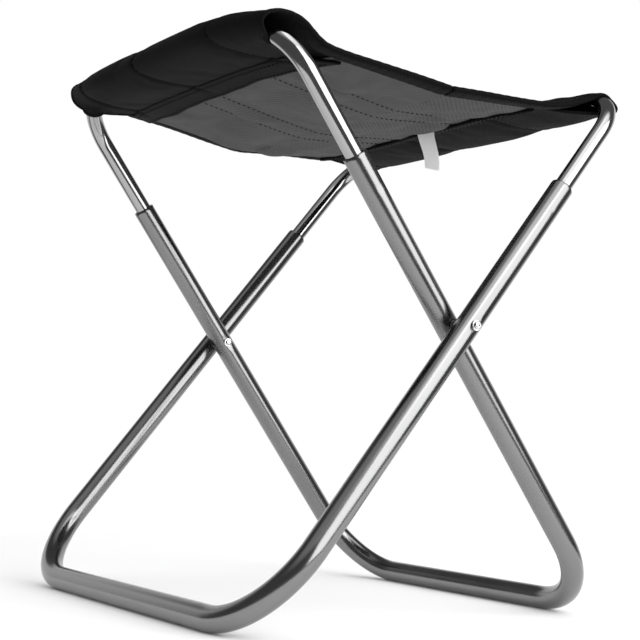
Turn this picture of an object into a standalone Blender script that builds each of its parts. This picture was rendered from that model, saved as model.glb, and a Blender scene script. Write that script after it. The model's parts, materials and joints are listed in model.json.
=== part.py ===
"""Folding camp stool: two hollow U-tube frames that cross at a riveted pivot, with a fabric seat between them.

Metres, +Z up, origin on the floor under the middle of the stool. The pivot axis runs along X. The outer frame
is the wider one: its base bar lies at -Y and its seat bar at +Y. The inner frame is its mirror image and
passes between the outer frame's legs. The seat is modelled as two halves that meet at a crease over the
pivot, and each half turns about the round bar that it wraps.
"""

import math

import bpy
from mathutils import Vector

GAP = 0.0003

# Frame
PIVOT_HEIGHT = 0.142
HALF_ANGLE = math.radians(38.1)
OUTER_HALF_WIDTH = 0.1245
INNER_HALF_WIDTH = 0.1095
BASE_TUBE_RADIUS = 0.006
BASE_TUBE_WALL = 0.001
SEAT_TUBE_RADIUS = 0.0045
SEAT_TUBE_WALL = 0.0009
TUBE_SIDES = 12
BASE_BEND_RADIUS = 0.043
SEAT_BEND_RADIUS = 0.030
BEND_STEPS = 8
PIVOT_TO_JUNCTION = 0.096
TUBE_INSERTION = 0.030
PIVOT_TO_SEAT_BAR = 0.169

# Pivot hardware
SHANK_RADIUS = 0.0014
PIVOT_HOLE_RADIUS = 0.0017
WASHER_RADIUS = 0.0026
WASHER_THICKNESS = 0.0007
SPACER_RADIUS = 0.0038
RIVET_HEAD_RADIUS = 0.0019
RIVET_HEAD_HEIGHT = 0.0011
RIVET_TAIL_RADIUS = 0.0018
RIVET_TAIL_HEIGHT = 0.0010
TURNED_STEPS = 16

# Seat. Profile points are (distance inwards from the bar's axis, height above it).
SEAT_HALF_WIDTH = 0.108
BINDING_WIDTH = 0.006
BINDING_THICKNESS = 0.0032
COVER_THICKNESS = 0.0014
LINING_THICKNESS = 0.0007
FLAP_THICKNESS = 0.0010
HEM_THICKNESS = 0.0014
HEM_WIDTH = 0.010
DRAPE_REACH = 0.028
DRAPE_DROP = 0.0046
CREASE_DROP = 0.0116
LINING_START = 0.012
COVER_WRAP_END = math.radians(215)
BINDING_WRAP_END = math.radians(150)
FLAP_WRAP_START = math.radians(226)
OUTER_POCKET_DEPTH = 0.051
INNER_POCKET_DEPTH = 0.034
POCKET_CLEARANCE = 0.0015
LABEL_WIDTH = 0.015
LABEL_LENGTH = 0.024
LABEL_THICKNESS = 0.0006
LABEL_X = 0.017

# Worked out from the sizes above
BASE_BAR_HEIGHT = BASE_TUBE_RADIUS * math.cos(math.pi / TUBE_SIDES)
PIVOT_TO_BASE_BAR = (PIVOT_HEIGHT - BASE_BAR_HEIGHT) / math.cos(HALF_ANGLE)
SEAT_BAR_Y = PIVOT_TO_SEAT_BAR * math.sin(HALF_ANGLE)
SEAT_BAR_HEIGHT = PIVOT_HEIGHT + PIVOT_TO_SEAT_BAR * math.cos(HALF_ANGLE)
SLEEVE_RADIUS = SEAT_TUBE_RADIUS + GAP
FACET_ANGLE = 2 * math.pi / TUBE_SIDES

# Colour, roughness, metallic
MATERIALS = {
    "base_tube_metal": ((0.30, 0.30, 0.31), 0.28, 1.0),
    "seat_tube_metal": ((0.48, 0.48, 0.49), 0.20, 1.0),
    "rivet_metal": ((0.70, 0.70, 0.70), 0.25, 1.0),
    "spacer_plastic": ((0.03, 0.03, 0.03), 0.50, 0.0),
    "cover_fabric": ((0.012, 0.012, 0.013), 0.85, 0.0),
    "lining_fabric": ((0.10, 0.10, 0.10), 0.85, 0.0),
    "binding_fabric": ((0.010, 0.010, 0.010), 0.80, 0.0),
    "label_fabric": ((0.62, 0.62, 0.62), 0.80, 0.0),
}


def clear_scene():
    for old in list(bpy.data.objects):
        bpy.data.objects.remove(old, do_unlink=True)


def new_collection(name, hidden=False):
    collection = bpy.data.collections.new(name)
    bpy.context.scene.collection.children.link(collection)
    collection.hide_render = hidden
    return collection


def new_material(name):
    colour, roughness, metallic = MATERIALS[name]
    material = bpy.data.materials.new(name)
    material.use_nodes = True
    shader = material.node_tree.nodes["Principled BSDF"]
    shader.inputs["Base Color"].default_value = (*colour, 1.0)
    shader.inputs["Roughness"].default_value = roughness
    shader.inputs["Metallic"].default_value = metallic
    return material


def add_empty(name, location, tilt=0.0):
    """A parent whose origin lies on a joint's axis. Tilt turns it about X."""
    empty = bpy.data.objects.new(name, None)
    empty.empty_display_size = 0.02
    empty.location = location
    empty.rotation_euler = (tilt, 0, 0)
    PARTS.objects.link(empty)
    return empty


def add_part(name, data, material, parent):
    part = bpy.data.objects.new(name, data)
    part.data.materials.append(MATERIAL[material])
    part.parent = parent
    PARTS.objects.link(part)
    return part


# Tubes. A frame's own axes: X across, +Z up along the legs, the pivot at the origin.
def u_points(half_width, leg_end, bar, bend_radius):
    """The centreline of a U: down or up one leg, across the bar, and back along the other leg."""
    towards_bar = 1 if bar > leg_end else -1
    bend_centre = Vector((half_width - bend_radius, 0, bar - towards_bar * bend_radius))
    right_side = [Vector((half_width, 0, leg_end))]
    for step in range(BEND_STEPS + 1):
        angle = 0.5 * math.pi * step / BEND_STEPS
        outwards = Vector((math.cos(angle), 0, towards_bar * math.sin(angle)))
        right_side.append(bend_centre + bend_radius * outwards)
    left_side = [Vector((-point.x, 0, point.z)) for point in reversed(right_side)]
    return right_side + left_side


def tube_skin(points, radius, tilt):
    """The open outer skin of a tube, as a mesh swept along the points."""
    curve = bpy.data.curves.new("tube_path", "CURVE")
    curve.dimensions = "3D"
    curve.bevel_depth = radius
    curve.bevel_resolution = TUBE_SIDES // 2 - 2
    spline = curve.splines.new("POLY")
    spline.points.add(len(points) - 1)
    for spline_point, place in zip(spline.points, points):
        spline_point.co = (*place, 1)
        spline_point.tilt = tilt
    path = bpy.data.objects.new("tube_path", curve)
    bpy.context.scene.collection.objects.link(path)
    bpy.context.view_layer.update()
    evaluated = path.evaluated_get(bpy.context.evaluated_depsgraph_get())
    mesh = bpy.data.meshes.new_from_object(evaluated)
    bpy.data.objects.remove(path, do_unlink=True)
    bpy.data.curves.remove(curve)
    return mesh


def add_tube(name, points, radius, wall, material, parent, tilt=0.0):
    """A bent tube with open ends."""
    mesh = tube_skin(points, radius, tilt)
    mesh.shade_smooth()
    mesh.set_sharp_from_angle(angle=math.radians(50))
    tube = add_part(name, mesh, material, parent)
    hollow = tube.modifiers.new("wall", "SOLIDIFY")
    hollow.thickness = wall
    hollow.offset = -1
    hollow.use_even_offset = True
    return tube


def add_pivot_hole_cutter():
    """One long pin along the pivot axis. It cuts the rivet holes in both frames."""
    bpy.ops.mesh.primitive_cylinder_add(
        vertices=TURNED_STEPS,
        radius=PIVOT_HOLE_RADIUS,
        depth=2 * OUTER_HALF_WIDTH + 4 * BASE_TUBE_RADIUS,
        location=(0, 0, PIVOT_HEIGHT),
        rotation=(0, math.pi / 2, 0),
    )
    cutter = bpy.context.object
    cutter.name = "pivot_hole_cutter"
    for holder in list(cutter.users_collection):
        holder.objects.unlink(cutter)
    CUTTERS.objects.link(cutter)
    cutter.hide_render = True
    cutter.display_type = "WIRE"
    return cutter


def add_frame(name, half_width, parent, cutter):
    """One frame: a thick lower U with the rivet holes, and a thinner upper U pushed into its ends."""
    base_points = u_points(half_width, PIVOT_TO_JUNCTION, -PIVOT_TO_BASE_BAR, BASE_BEND_RADIUS)
    # A swept tube has an edge in the frame's plane. The tilt lays one facet of the base bar flat on the floor.
    lean = parent.rotation_euler.x
    floor_tilt = math.remainder(lean + FACET_ANGLE / 2, FACET_ANGLE)
    base_tube = add_tube(
        f"{name}_base_tube", base_points, BASE_TUBE_RADIUS, BASE_TUBE_WALL, "base_tube_metal", parent, floor_tilt
    )
    hole = base_tube.modifiers.new("pivot_holes", "BOOLEAN")
    hole.operation = "DIFFERENCE"
    hole.object = cutter
    seat_points = u_points(
        half_width, PIVOT_TO_JUNCTION - TUBE_INSERTION, PIVOT_TO_SEAT_BAR, SEAT_BEND_RADIUS
    )
    add_tube(
        f"{name}_seat_tube", seat_points, SEAT_TUBE_RADIUS, SEAT_TUBE_WALL, "seat_tube_metal", parent, floor_tilt
    )


# Pivot hardware. Each piece is turned about the pivot axis.
def add_turned(name, profile, material, side):
    """A turned piece. Profile points are (radius, distance from the middle of the stool), outermost first."""
    mesh = bpy.data.meshes.new(name)
    corners = [(radius, 0, distance) for radius, distance in profile]
    mesh.from_pydata(corners, [(i, i + 1) for i in range(len(corners) - 1)], [])
    piece = add_part(name, mesh, material, PIVOT)
    piece.rotation_euler = (0, side * math.pi / 2, 0)
    turn = piece.modifiers.new("turn", "SCREW")
    turn.steps = TURNED_STEPS
    turn.render_steps = TURNED_STEPS
    turn.use_merge_vertices = True
    turn.merge_threshold = 0.00001
    turn.use_smooth_shade = False
    return piece


def ring_profile(outer_radius, inner_radius, far, near):
    return [
        (inner_radius, far),
        (outer_radius, far),
        (outer_radius, near),
        (inner_radius, near),
        (inner_radius, far),
    ]


def add_pivot_hardware(label, side):
    """The rivet, its two washers and the spacer at one end of the pivot axis."""
    outer_face = OUTER_HALF_WIDTH + BASE_TUBE_RADIUS + GAP
    inner_face = INNER_HALF_WIDTH - BASE_TUBE_RADIUS - GAP
    head_seat = outer_face + WASHER_THICKNESS + GAP
    tail_seat = inner_face - WASHER_THICKNESS - GAP
    head_edge = head_seat + 0.4 * RIVET_HEAD_HEIGHT
    head_top = head_seat + RIVET_HEAD_HEIGHT
    rivet_profile = [
        (0, head_top - 0.25 * RIVET_HEAD_HEIGHT),
        (0.35 * RIVET_HEAD_RADIUS, head_top),
        (0.70 * RIVET_HEAD_RADIUS, head_top),
        (RIVET_HEAD_RADIUS, head_edge),
        (RIVET_HEAD_RADIUS, head_seat),
        (SHANK_RADIUS, head_seat),
        (SHANK_RADIUS, tail_seat),
        (RIVET_TAIL_RADIUS, tail_seat),
        (RIVET_TAIL_RADIUS, tail_seat - 0.5 * RIVET_TAIL_HEIGHT),
        (0.6 * RIVET_TAIL_RADIUS, tail_seat - RIVET_TAIL_HEIGHT),
        (0, tail_seat - RIVET_TAIL_HEIGHT),
    ]
    add_turned(f"pivot_rivet_{label}", rivet_profile, "rivet_metal", side)
    head_washer = ring_profile(WASHER_RADIUS, PIVOT_HOLE_RADIUS, outer_face + WASHER_THICKNESS, outer_face)
    add_turned(f"head_washer_{label}", head_washer, "rivet_metal", side)
    tail_washer = ring_profile(WASHER_RADIUS, PIVOT_HOLE_RADIUS, inner_face, inner_face - WASHER_THICKNESS)
    add_turned(f"tail_washer_{label}", tail_washer, "rivet_metal", side)
    spacer_far = OUTER_HALF_WIDTH - BASE_TUBE_RADIUS - GAP
    spacer_near = INNER_HALF_WIDTH + BASE_TUBE_RADIUS + GAP
    spacer = ring_profile(SPACER_RADIUS, PIVOT_HOLE_RADIUS, spacer_far, spacer_near)
    add_turned(f"pivot_spacer_{label}", spacer, "spacer_plastic", side)


# Seat. Each piece is a strip bent along a profile and extruded across the seat.
def on_circle(radius, angle):
    return (radius * math.cos(angle), radius * math.sin(angle))


def web_height(reach, below=0.0):
    """Height of the seat's middle layer at a distance in from the bar, less an offset below it."""
    slope = (CREASE_DROP - DRAPE_DROP) / (SEAT_BAR_Y - DRAPE_REACH)
    if reach < DRAPE_REACH:
        slope = (DRAPE_DROP + SLEEVE_RADIUS) / DRAPE_REACH
    return -DRAPE_DROP - slope * (reach - DRAPE_REACH) - below


def wrap_and_web(radius, wrap_end):
    """A profile round the outer side of the bar, over its top and in to the crease."""
    leaves_bar = math.pi / 2 - math.atan2(DRAPE_DROP + radius, DRAPE_REACH)
    steps = 8
    profile = []
    for step in range(steps + 1):
        angle = wrap_end + (leaves_bar - wrap_end) * step / steps
        profile.append(on_circle(radius, angle))
    profile.append((DRAPE_REACH, -DRAPE_DROP))
    profile.append((SEAT_BAR_Y - GAP, -CREASE_DROP))
    return profile


def lining_profile():
    below = COVER_THICKNESS / 2 + GAP + LINING_THICKNESS / 2
    reaches = (LINING_START, DRAPE_REACH, SEAT_BAR_Y - GAP)
    return [(reach, web_height(reach, below)) for reach in reaches]


def under_lining(thickness):
    """How far below the seat's middle layer a strip of this thickness lies when it touches the lining."""
    return COVER_THICKNESS / 2 + LINING_THICKNESS + 2 * GAP + thickness / 2


def hem_profile(depth):
    """The hem lies under the lining, so it bends where the lining does."""
    reaches = [depth - HEM_WIDTH, depth]
    if reaches[0] < DRAPE_REACH < reaches[1]:
        reaches.insert(1, DRAPE_REACH)
    return [(reach, web_height(reach, under_lining(HEM_THICKNESS))) for reach in reaches]


def flap_profile(depth):
    radius = SLEEVE_RADIUS + FLAP_THICKNESS / 2
    steps = 3
    profile = []
    for step in range(steps + 1):
        angle = FLAP_WRAP_START + (1.5 * math.pi - FLAP_WRAP_START) * step / steps
        profile.append(on_circle(radius, angle))
    end = depth - HEM_WIDTH - GAP
    profile.append((end, web_height(depth - HEM_WIDTH, under_lining(HEM_THICKNESS))))
    return profile


def add_strip(name, profile, x_range, thickness, material, parent, inwards):
    """A strip of cloth. Inwards is -1 on the outer frame's half, whose bar is at +Y, and 1 on the other."""
    curve = bpy.data.curves.new(name, "CURVE")
    curve.dimensions = "2D"
    curve.fill_mode = "NONE"
    curve.extrude = 0.5 * (x_range[1] - x_range[0])
    spline = curve.splines.new("POLY")
    spline.points.add(len(profile) - 1)
    for spline_point, (reach, height) in zip(spline.points, profile):
        spline_point.co = (inwards * reach, height, 0, 1)
    strip = add_part(name, curve, material, parent)
    strip.location.x = 0.5 * (x_range[0] + x_range[1])
    # The profile's plane is turned so that its own axes become world Y and Z.
    strip.rotation_euler = (math.pi / 2, 0, math.pi / 2)
    layer = strip.modifiers.new("thickness", "SOLIDIFY")
    layer.thickness = thickness
    layer.offset = 0
    layer.use_even_offset = True
    return strip


def add_seat_half(name, inwards, parent, pocket_depth, straight_bar):
    """The cover that wraps the bar, the lining, the pocket's flap and hem, and the two edge bindings."""
    cloth_edge = SEAT_HALF_WIDTH - BINDING_WIDTH - GAP
    cloth = (-cloth_edge, cloth_edge)
    pocket_edge = straight_bar - POCKET_CLEARANCE
    pocket = (-pocket_edge, pocket_edge)
    cover = wrap_and_web(SLEEVE_RADIUS + COVER_THICKNESS / 2, COVER_WRAP_END)
    add_strip(f"{name}_cover", cover, cloth, COVER_THICKNESS, "cover_fabric", parent, inwards)
    add_strip(f"{name}_lining", lining_profile(), cloth, LINING_THICKNESS, "lining_fabric", parent, inwards)
    add_strip(
        f"{name}_pocket_flap", flap_profile(pocket_depth), pocket, FLAP_THICKNESS, "cover_fabric", parent, inwards
    )
    add_strip(
        f"{name}_hem_band", hem_profile(pocket_depth), pocket, HEM_THICKNESS, "binding_fabric", parent, inwards
    )
    binding = wrap_and_web(SLEEVE_RADIUS + BINDING_THICKNESS / 2, BINDING_WRAP_END)
    for label, side in (("right", 1), ("left", -1)):
        edge = sorted((side * (SEAT_HALF_WIDTH - BINDING_WIDTH), side * SEAT_HALF_WIDTH))
        add_strip(
            f"{name}_binding_{label}", binding, edge, BINDING_THICKNESS, "binding_fabric", parent, inwards
        )


def add_care_label(parent, inwards):
    """A blank tag that hangs from the edge of the outer pocket's hem."""
    reach = OUTER_POCKET_DEPTH + LABEL_THICKNESS / 2 + GAP
    top = web_height(reach, under_lining(0))
    profile = [(reach, top), (reach, top - LABEL_LENGTH)]
    x_range = (LABEL_X - LABEL_WIDTH / 2, LABEL_X + LABEL_WIDTH / 2)
    add_strip("care_label", profile, x_range, LABEL_THICKNESS, "label_fabric", parent, inwards)


clear_scene()
PARTS = new_collection("camp_stool")
CUTTERS = new_collection("camp_stool_cutters", hidden=True)
MATERIAL = {name: new_material(name) for name in MATERIALS}

PIVOT = add_empty("pivot_axis", (0, 0, PIVOT_HEIGHT))
OUTER_FRAME = add_empty("outer_frame_axis", (0, 0, PIVOT_HEIGHT), -HALF_ANGLE)
INNER_FRAME = add_empty("inner_frame_axis", (0, 0, PIVOT_HEIGHT), HALF_ANGLE)
OUTER_BAR = add_empty("outer_seat_bar_axis", (0, SEAT_BAR_Y, SEAT_BAR_HEIGHT))
INNER_BAR = add_empty("inner_seat_bar_axis", (0, -SEAT_BAR_Y, SEAT_BAR_HEIGHT))

HOLE_CUTTER = add_pivot_hole_cutter()
add_frame("outer", OUTER_HALF_WIDTH, OUTER_FRAME, HOLE_CUTTER)
add_frame("inner", INNER_HALF_WIDTH, INNER_FRAME, HOLE_CUTTER)
add_pivot_hardware("right", 1)
add_pivot_hardware("left", -1)
add_seat_half("outer", -1, OUTER_BAR, OUTER_POCKET_DEPTH, OUTER_HALF_WIDTH - SEAT_BEND_RADIUS)
add_seat_half("inner", 1, INNER_BAR, INNER_POCKET_DEPTH, INNER_HALF_WIDTH - SEAT_BEND_RADIUS)
add_care_label(OUTER_BAR, -1)
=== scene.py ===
"""Camp stool: the finished look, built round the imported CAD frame. Metres, +Z up, X along the pivot axis."""

import json
import math

import bpy
import numpy as np
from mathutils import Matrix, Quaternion, Vector


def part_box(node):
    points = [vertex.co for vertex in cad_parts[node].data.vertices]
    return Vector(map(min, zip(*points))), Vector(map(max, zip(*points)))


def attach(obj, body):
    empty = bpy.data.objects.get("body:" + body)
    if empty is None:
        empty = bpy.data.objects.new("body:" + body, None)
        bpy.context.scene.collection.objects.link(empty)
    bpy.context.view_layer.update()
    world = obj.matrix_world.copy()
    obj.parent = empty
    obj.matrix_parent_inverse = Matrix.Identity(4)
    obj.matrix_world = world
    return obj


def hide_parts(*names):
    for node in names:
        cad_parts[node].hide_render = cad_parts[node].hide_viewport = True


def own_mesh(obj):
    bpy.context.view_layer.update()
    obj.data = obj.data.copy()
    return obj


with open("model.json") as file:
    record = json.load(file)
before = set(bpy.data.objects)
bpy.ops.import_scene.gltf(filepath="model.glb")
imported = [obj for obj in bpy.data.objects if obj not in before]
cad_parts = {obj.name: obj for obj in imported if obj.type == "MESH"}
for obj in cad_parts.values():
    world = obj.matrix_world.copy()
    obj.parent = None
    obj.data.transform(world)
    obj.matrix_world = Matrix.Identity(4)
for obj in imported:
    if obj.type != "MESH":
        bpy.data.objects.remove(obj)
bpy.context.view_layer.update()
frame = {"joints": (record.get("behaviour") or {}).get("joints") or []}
MM = 0.001

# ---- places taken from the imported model
JOINT = {joint["name"]: joint for joint in frame["joints"]}
PIVOT = Vector(JOINT["fold"]["pos_m"])
BARS = {
    "outer": Vector(JOINT["outer_sleeve_turn"]["pos_m"]),
    "inner": Vector(JOINT["inner_sleeve_turn"]["pos_m"]),
}
FRAMES = ("outer", "inner")
BASE_RADIUS = 6.0 * MM
SEAT_RADIUS = 4.5 * MM
BASE_WALL = 1.0 * MM
SEAT_WALL = 0.9 * MM
BASE_BEND = 43 * MM
SEAT_BEND = 30 * MM
PIVOT_TO_JUNCTION = 96 * MM
TUBE_INSERTION = 30 * MM
HALF_ANGLE = math.atan2(BARS["outer"].y, BARS["outer"].z - PIVOT.z)
PIVOT_TO_SEAT_BAR = math.hypot(BARS["outer"].y, BARS["outer"].z - PIVOT.z)
BASE_BAR_HEIGHT = BASE_RADIUS * math.cos(math.pi / 12)
PIVOT_TO_BASE_BAR = (PIVOT.z - BASE_BAR_HEIGHT) / math.cos(HALF_ANGLE)


def half_width(name):
    """Distance from the middle of the stool to the centre of a frame's leg."""
    low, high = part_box(f"{name}_base_tube")
    return 0.5 * (high.x - low.x) - BASE_RADIUS


HALF_WIDTH = {name: half_width(name) for name in FRAMES}


# ---- camera, floor and light
SENSOR = 36.0
CAMERA_PLACE = Vector((0.60159, -0.39972, 0.08659))
CAMERA_AZIMUTH = 53.794
CAMERA_ELEVATION = -7.437
CAMERA_ROLL = math.radians(2.409)
CAMERA_LENS = 73.837
CAMERA_SHIFT = (-0.100, -0.080)
# What mirrors see, each as (azimuth, elevation, half angle at full tone, half angle where it ends), in degrees.
BACKDROP = (240, 0, 52, 68)
CEILING = (25, 66, 20, 38)
OVERHEAD = (96, 60, 17, 30)
# The backdrop fades out between these heights of a view's direction, none first and full second.
BACKDROP_TOP = (0.52, 0.42)
BACKDROP_TONE = 0.80
ROOM_TONE = 0.12
CEILING_TONE = 0.42
WHITE_TONE = 1.0
OVERHEAD_TONE = 1.7
FLOOR_RADIUS = 0.42
SOFTBOX = dict(azimuth=104, elevation=19, distance=1.0, width=1.10, height=0.92, power=11.0)


def direction_to(azimuth, elevation):
    """The way from the middle of the stool, for a view's angles in degrees. Azimuth runs from -Y towards +X."""
    turn, lift = math.radians(azimuth), math.radians(elevation)
    return Vector((math.sin(turn) * math.cos(lift), -math.cos(turn) * math.cos(lift), math.sin(lift)))


def add_camera():
    data = bpy.data.cameras.new("camera")
    camera = bpy.data.objects.new("camera", data)
    bpy.context.scene.collection.objects.link(camera)
    data.sensor_width = SENSOR
    data.lens = CAMERA_LENS
    data.shift_x, data.shift_y = CAMERA_SHIFT
    data.clip_start, data.clip_end = 0.01, 50
    camera.location = CAMERA_PLACE
    camera.rotation_mode = "QUATERNION"
    level = (-direction_to(CAMERA_AZIMUTH, CAMERA_ELEVATION)).to_track_quat("-Z", "Y")
    camera.rotation_quaternion = level @ Quaternion((0, 0, 1), CAMERA_ROLL)
    bpy.context.scene.camera = camera


def add_area_light(name, azimuth, elevation, distance, width, height, power):
    """A softbox that faces the middle of the stool."""
    data = bpy.data.lights.new(name, "AREA")
    data.shape = "RECTANGLE"
    data.size, data.size_y = width, height
    data.energy = power
    light = bpy.data.objects.new(name, data)
    bpy.context.scene.collection.objects.link(light)
    back = direction_to(azimuth, elevation)
    light.location = PIVOT + distance * back
    light.rotation_mode = "QUATERNION"
    light.rotation_quaternion = (-back).to_track_quat("-Z", "Y")


class Tree:
    """The nodes of one material or world, with short ways to add and join them."""

    def __init__(self, owner):
        owner.use_nodes = True
        self.nodes, self.links = owner.node_tree.nodes, owner.node_tree.links

    def new(self, kind, **inputs):
        """A new node, with the values that some of its inputs take."""
        node = self.nodes.new("ShaderNode" + kind)
        for name, value in inputs.items():
            node.inputs[name.replace("_", " ")].default_value = value
        return node

    def link(self, output, socket):
        self.links.new(output, socket)

    def math(self, operation, *values):
        node = self.new("Math")
        node.operation = operation
        for socket, value in zip(node.inputs, values):
            if isinstance(value, (int, float)):
                socket.default_value = value
            else:
                self.link(value, socket)
        return node.outputs["Value"]

    def soft_limit(self, value, none, full):
        """0 at one value and 1 at another, smooth between."""
        node = self.new("MapRange", From_Min=none, From_Max=full)
        node.interpolation_type = "SMOOTHSTEP"
        self.link(value, node.inputs["Value"])
        return node.outputs["Result"]

    def zone(self, direction, azimuth, elevation, inner, outer):
        """1 within an angle of a direction and 0 beyond a wider one, with a soft edge. Angles are in degrees."""
        node = self.new("VectorMath")
        node.operation = "DOT_PRODUCT"
        self.link(direction, node.inputs[0])
        node.inputs[1].default_value = direction_to(azimuth, elevation)
        return self.soft_limit(node.outputs["Value"], *(math.cos(math.radians(a)) for a in (outer, inner)))

    def mix(self, factor, low, high):
        """Mixes two colours by a factor."""
        node = self.new("Mix")
        node.data_type = "RGBA"
        self.link(factor, node.inputs["Factor"])
        node.inputs["A"].default_value = (*low, 1)
        node.inputs["B"].default_value = (*high, 1)
        return node.outputs["Result"]

    def noise(self, vector, scale, detail=4.0):
        node = self.new("TexNoise", Scale=scale, Detail=detail, Roughness=0.6)
        self.link(vector, node.inputs["Vector"])
        return node.outputs["Fac"]

    def flat(self, across, along):
        """The flat cloth's or the tube's own coordinates, in millimetres times a scale each way."""
        uv = self.new("UVMap")
        uv.uv_map = "flat"
        mapping = self.new("Mapping", Scale=(across * 1000, along * 1000, 1))
        self.link(uv.outputs["UV"], mapping.inputs["Vector"])
        return mapping.outputs["Vector"]

    def bump(self, height, strength, distance):
        node = self.new("Bump", Strength=strength, Distance=distance)
        self.link(height, node.inputs["Height"])
        self.link(node.outputs["Normal"], self.nodes["Principled BSDF"].inputs["Normal"])


def add_world():
    """A white studio. Mirrors see a pale backdrop on one side, two ceiling panels, and dark elsewhere."""
    world = bpy.data.worlds.new("studio")
    bpy.context.scene.world = world
    world.cycles.sampling_method = "NONE"
    tree = Tree(world)
    tree.nodes.clear()
    direction = tree.new("TexCoord").outputs["Generated"]
    split = tree.new("SeparateXYZ")
    tree.link(direction, split.inputs[0])
    low = tree.soft_limit(split.outputs[2], *BACKDROP_TOP)
    backdrop = tree.math("MULTIPLY", tree.zone(direction, *BACKDROP), low)
    tone = tree.math("MULTIPLY_ADD", backdrop, BACKDROP_TONE, ROOM_TONE)
    tone = tree.math("MULTIPLY_ADD", tree.zone(direction, *CEILING), CEILING_TONE, tone)
    tone = tree.math("MULTIPLY_ADD", tree.zone(direction, *OVERHEAD), OVERHEAD_TONE, tone)
    room = tree.new("Background", Color=(1, 1, 1, 1))
    tree.link(tone, room.inputs["Strength"])
    white = tree.new("Background", Color=(1, 1, 1, 1), Strength=WHITE_TONE)
    mix = tree.new("MixShader")
    tree.link(tree.new("LightPath").outputs["Is Glossy Ray"], mix.inputs["Fac"])
    tree.link(white.outputs["Background"], mix.inputs[1])
    tree.link(room.outputs["Background"], mix.inputs[2])
    tree.link(mix.outputs["Shader"], tree.new("OutputWorld").inputs["Surface"])


def add_floor():
    mesh = bpy.data.meshes.new("floor")
    below = BASE_BAR_HEIGHT - BASE_RADIUS
    angles = np.linspace(0, 2 * math.pi, 96, endpoint=False)
    rim = [(FLOOR_RADIUS * math.cos(a), FLOOR_RADIUS * math.sin(a), below) for a in angles]
    mesh.from_pydata(rim, [], [tuple(range(len(rim)))])
    floor = bpy.data.objects.new("floor", mesh)
    bpy.context.scene.collection.objects.link(floor)
    material, _, shader = new_material("floor_white")
    shader.inputs["Base Color"].default_value = (0.93, 0.93, 0.93, 1)
    shader.inputs["Roughness"].default_value = 0.9
    shader.inputs["Specular IOR Level"].default_value = 0.1
    mesh.materials.append(material)


# ---- materials
def new_material(name):
    material = bpy.data.materials.new(name)
    tree = Tree(material)
    return material, tree, tree.nodes["Principled BSDF"]


# Scales of the noise in a surface, per metre, and along each way of a flat cloth or a tube, per millimetre.
SMUDGE_SCALE, CLOUD_SCALE, PLASTIC_SCALE = 28.0, 45.0, 600.0
GRAIN_SCALE, SLUB_SCALE = (0.9, 0.012), (0.06, 2.2)


def metal_material(name, dark, light, roughness, grain):
    """Drawn aluminium tube: fine lengthwise grain, slight smudges, and a soft change of tone."""
    material, tree, shader = new_material(name)
    shader.inputs["Metallic"].default_value = 1.0
    stretched = tree.flat(*GRAIN_SCALE)
    lines = tree.noise(stretched, 1.0)
    place = tree.new("TexCoord").outputs["Object"]
    smudge = tree.noise(place, SMUDGE_SCALE)
    both = tree.math("MULTIPLY_ADD", smudge, 0.6, tree.math("MULTIPLY", lines, 0.4))
    tree.link(tree.mix(both, dark, light), shader.inputs["Base Color"])
    spread = tree.new("MapRange", From_Min=0.3, From_Max=0.7, To_Min=roughness * 0.8, To_Max=roughness * 1.25)
    tree.link(both, spread.inputs["Value"])
    tree.link(spread.outputs["Result"], shader.inputs["Roughness"])
    tree.bump(lines, grain, 0.00002)
    return material


def weave_height(tree, pitch, twill):
    """Height of a weave of threads at a pitch in millimetres. Twill is 1 for plain weave and 2 for a 2/2 twill."""
    vector = tree.flat(1 / pitch, 1 / pitch)
    split = tree.new("SeparateXYZ")
    tree.link(vector, split.inputs[0])
    across, along = split.outputs[0], split.outputs[1]
    cell = tree.math("ADD", tree.math("FLOOR", across), tree.math("FLOOR", along))
    over = tree.math("LESS_THAN", tree.math("FLOORED_MODULO", cell, 2.0 * twill), float(twill) - 0.5)
    warp, weft = (tree.math("ABSOLUTE", tree.math("SINE", tree.math("MULTIPLY", way, math.pi)))
                  for way in (across, along))
    node = tree.new("Mix")
    tree.link(over, node.inputs["Factor"])
    tree.link(weft, node.inputs["A"])
    tree.link(warp, node.inputs["B"])
    return node.outputs["Result"], over


def fabric_material(name, dark, light, pitch, twill, depth, roughness, sheen, worn):
    """Woven polyester: threads in relief, a slight difference between warp and weft, and soft uneven tone. The colour
    is also painted darker where the threads dip under each other: painted shade between threads.
    """
    material, tree, shader = new_material(name)
    height, over = weave_height(tree, pitch, twill)
    place = tree.new("TexCoord").outputs["Object"]
    cloud = tree.noise(place, CLOUD_SCALE)
    slub = tree.noise(tree.flat(*SLUB_SCALE), 1.0, 3.0)
    # Thread height also sets the colour, darker in the dips between threads and lighter on their crowns: painted shade.
    tone = tree.math("MULTIPLY_ADD", height, 0.50, tree.math("MULTIPLY", over, 0.16))
    tone = tree.math("MULTIPLY_ADD", cloud, worn, tone)
    tone = tree.math("MULTIPLY_ADD", slub, 0.18, tone)
    tree.link(tree.mix(tone, dark, light), shader.inputs["Base Color"])
    spread = tree.new("MapRange", To_Min=roughness + 0.08, To_Max=roughness - 0.08)
    tree.link(height, spread.inputs["Value"])
    tree.link(spread.outputs["Result"], shader.inputs["Roughness"])
    shader.inputs["Specular IOR Level"].default_value = 0.05
    shader.inputs["Sheen Weight"].default_value = sheen
    shader.inputs["Sheen Roughness"].default_value = 0.5
    tree.bump(height, 0.8, depth)
    return material


def plastic_material(name, dark, light, roughness):
    material, tree, shader = new_material(name)
    place = tree.new("TexCoord").outputs["Object"]
    cloud = tree.noise(place, PLASTIC_SCALE)
    tree.link(tree.mix(cloud, dark, light), shader.inputs["Base Color"])
    shader.inputs["Roughness"].default_value = roughness
    tree.bump(cloud, 0.3, 0.00003)
    return material


def grey(value):
    return (value, value, value)


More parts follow.
